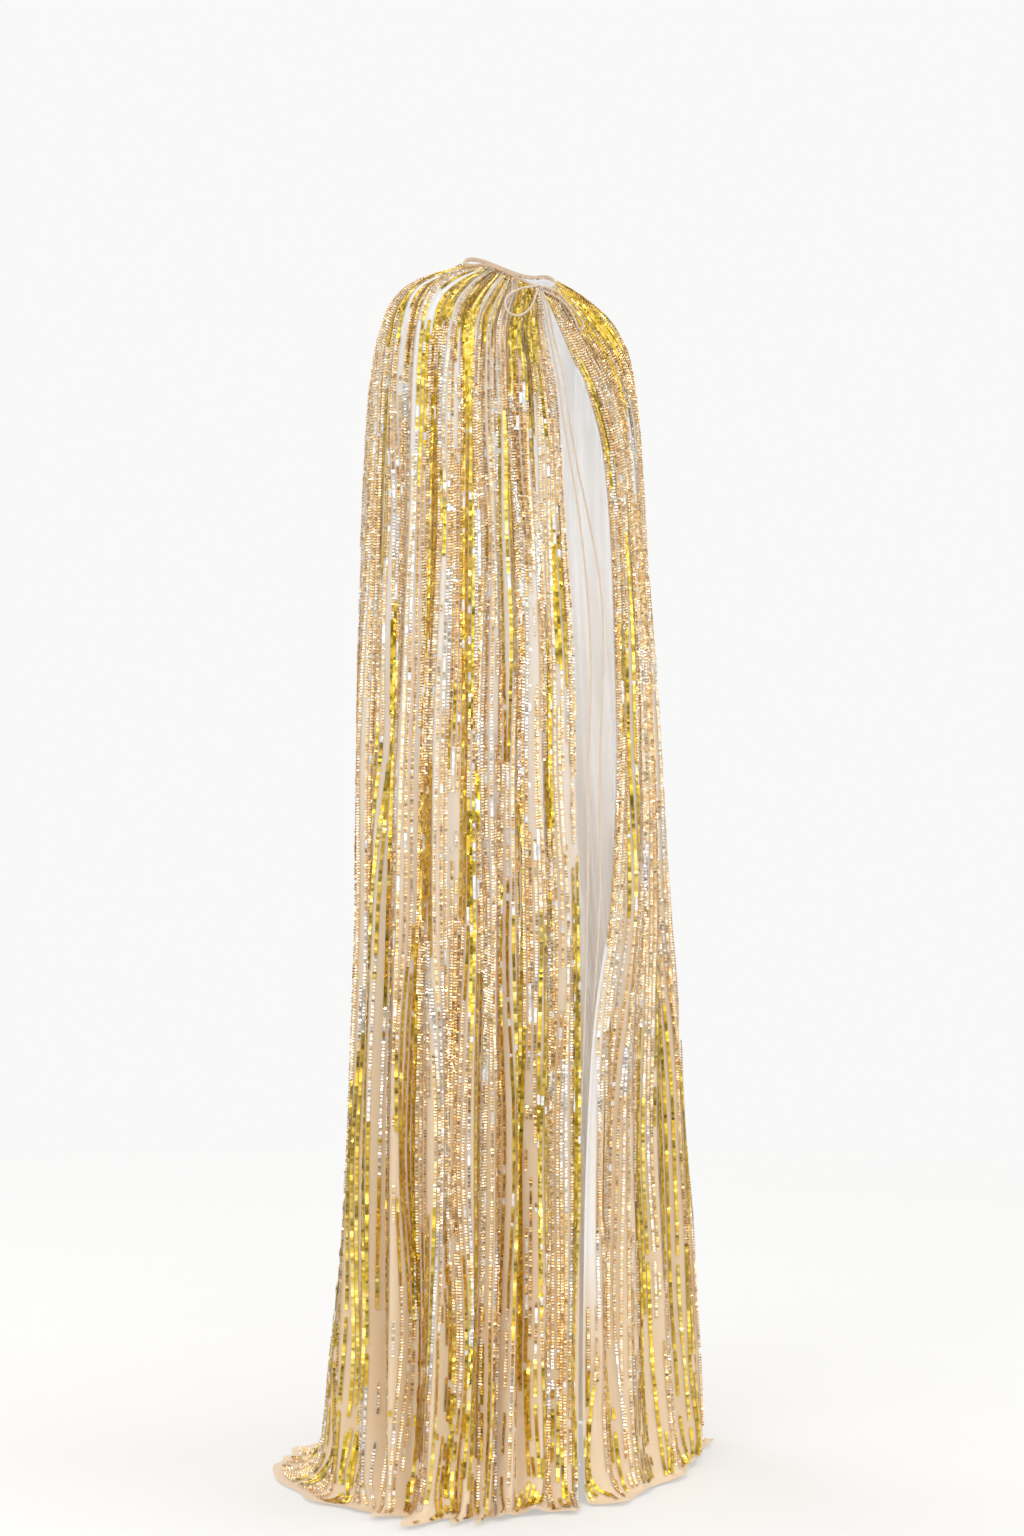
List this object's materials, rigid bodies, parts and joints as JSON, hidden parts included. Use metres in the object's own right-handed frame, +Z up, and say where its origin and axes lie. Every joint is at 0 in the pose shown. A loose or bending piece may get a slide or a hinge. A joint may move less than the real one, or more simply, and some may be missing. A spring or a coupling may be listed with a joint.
{
  "type": "sequinned cloak",
  "caption": "Floor-length open cloak of gathered sequinned tulle, worn, tied at the throat with a thin cord in a bow.",
  "frame": {"origin": "centre of the neck opening, where the wearer's neck and shoulders hold the cloak", "axes": "+Z up, -Y the way the wearer faces, +X the wearer's left"},
  "size_m": [0.6093, 0.5296, 1.5972],
  "materials": {
    "sequinned_tulle": "sheer net with metallic sequins",
    "beige_binding": "matt"
  },
  "bodies": {
    "root": {"back": "sequinned_tulle", "front_right": "sequinned_tulle", "front_left": "sequinned_tulle", "neck_binding": "beige_binding", "bow_knot": "beige_binding", "bow_loop_right": "beige_binding", "bow_loop_left": "beige_binding", "tie_tail_right": "beige_binding", "tie_tail_left": "beige_binding"}
  },
  "joints": []
}
